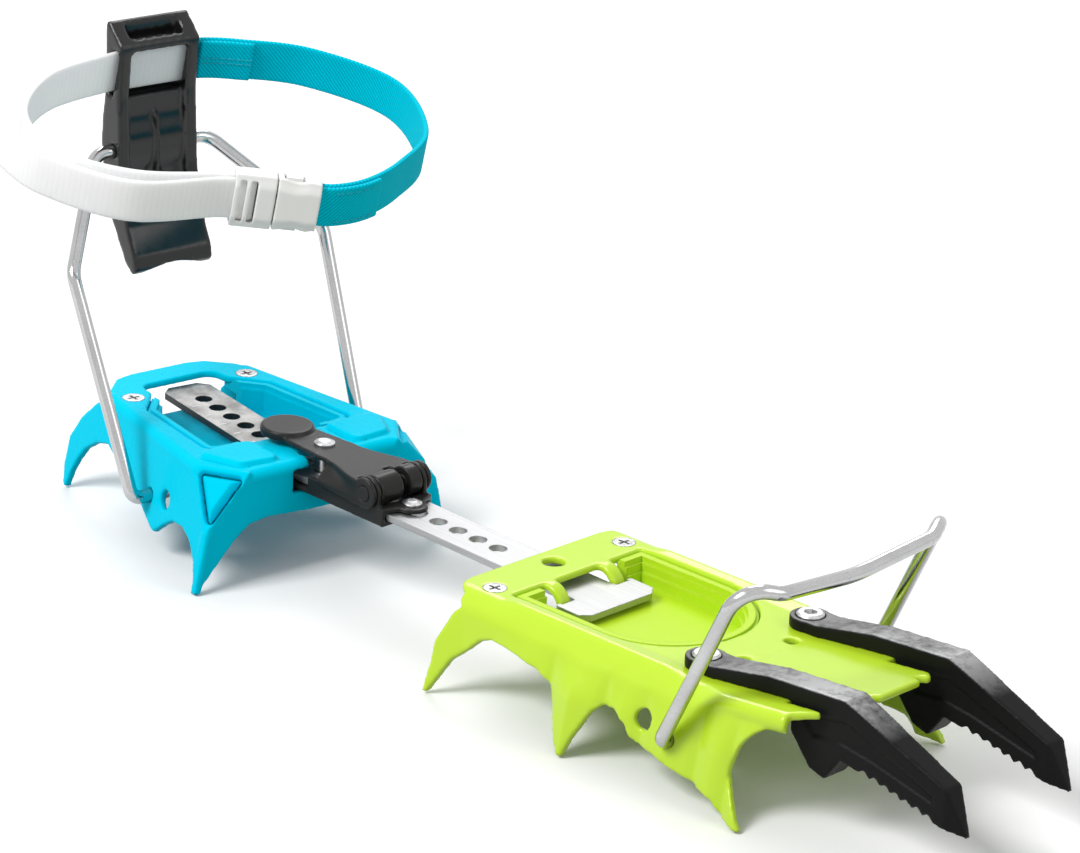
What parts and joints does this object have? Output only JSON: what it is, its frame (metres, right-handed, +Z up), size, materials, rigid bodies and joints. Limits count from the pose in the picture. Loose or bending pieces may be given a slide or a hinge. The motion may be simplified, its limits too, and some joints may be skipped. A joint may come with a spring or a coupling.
{
  "type": "automatic crampon",
  "caption": "Step-in crampon for a right boot: stamped front and heel frames with teeth, forged front points, linking bar with length adjuster, wire bails, heel lever and ankle strap.",
  "frame": {"origin": "on the ground under the tips of the teeth, under the middle of the part's box", "axes": "+X towards the toe, +Y to the wearer's left, +Z up"},
  "size_m": [0.3586, 0.1308, 0.1434],
  "materials": {
    "lime_paint": "satin powder coat",
    "lime_plastic": "smooth moulded",
    "steel": "plain",
    "black_steel": "satin black with worn tops",
    "wire": "drawn stainless wire",
    "bar_steel": "brushed lengthwise",
    "teal_paint": "satin powder coat",
    "teal_plastic": "smooth moulded",
    "black_paint": "satin black",
    "black_plastic": "fine grain",
    "white_webbing": "woven",
    "blue_webbing": "woven",
    "white_plastic": "smooth moulded"
  },
  "bodies": {
    "front": {"front_frame": "lime_paint", "front_tray": "lime_plastic", "front_tray_screws": "steel", "front_point_right": "black_steel", "front_point_left": "black_steel", "front_point_bolts": "steel", "front_point_nuts": "steel"},
    "toe_bail": {"toe_bail": "wire"},
    "bar": {"link_bar": "bar_steel"},
    "heel": {"heel_frame": "teal_paint", "heel_tray": "teal_plastic", "heel_tray_screws": "steel", "adjuster_base": "black_paint", "adjuster_rivet": "steel", "adjuster_hinge_pins": "steel"},
    "adjuster_lever": {"adjuster_lever": "black_paint", "lock_stud": "steel"},
    "heel_bail": {"heel_bail": "wire"},
    "heel_lever": {"heel_lever": "black_plastic", "strap_white": "white_webbing", "strap_blue": "blue_webbing", "buckle_frame": "white_plastic", "buckle_socket": "white_plastic"},
    "latch_top": {"buckle_latch_top": "white_plastic"},
    "latch_bottom": {"buckle_latch_bottom": "white_plastic"}
  },
  "joints": [
    {"name": "toe_bail_hinge", "type": "hinge", "parent": "front", "child": "toe_bail", "pos_m": [0.09298, -0.00244, 0.0155], "axis": [0, 1, 0], "range_deg": [-80, 20]},
    {"name": "bar_hinge", "type": "hinge", "parent": "front", "child": "bar", "pos_m": [0.02598, -0.00244, 0.0262], "axis": [0, 1, 0], "range_deg": [-8, 2]},
    {"name": "length_slide", "type": "slide", "parent": "bar", "child": "heel", "axis": [0.9997, 0, -0.0262], "range_m": [-0.008, 0.04]},
    {"name": "adjuster_lever_hinge", "type": "hinge", "parent": "heel", "child": "adjuster_lever", "pos_m": [-0.05186, -0.00244, 0.03324], "axis": [0, 1, 0], "range_deg": [0, 30]},
    {"name": "heel_bail_hinge", "type": "hinge", "parent": "heel", "child": "heel_bail", "pos_m": [-0.1168, 0.00186, 0.0165], "axis": [0.1276, 0.9918, 0], "range_deg": [-45, 30]},
    {"name": "heel_lever_hinge", "type": "hinge", "parent": "heel_bail", "child": "heel_lever", "pos_m": [-0.17135, 0.00888, 0.104], "axis": [0.1276, 0.9918, 0], "range_deg": [-20, 20]},
    {"name": "latch_top_press", "type": "slide", "parent": "heel_lever", "child": "latch_top", "axis": [-0.2349, 0.0302, -0.9715], "range_m": [0, 0.0012], "stiffness_N_per_m": 800},
    {"name": "latch_bottom_press", "type": "slide", "parent": "heel_lever", "child": "latch_bottom", "axis": [0.2349, -0.0302, 0.9715], "range_m": [0, 0.0012], "stiffness_N_per_m": 800}
  ],
  "couplings": [
    {"joint": "latch_bottom_press", "follows": "latch_top_press", "ratio": 1}
  ]
}
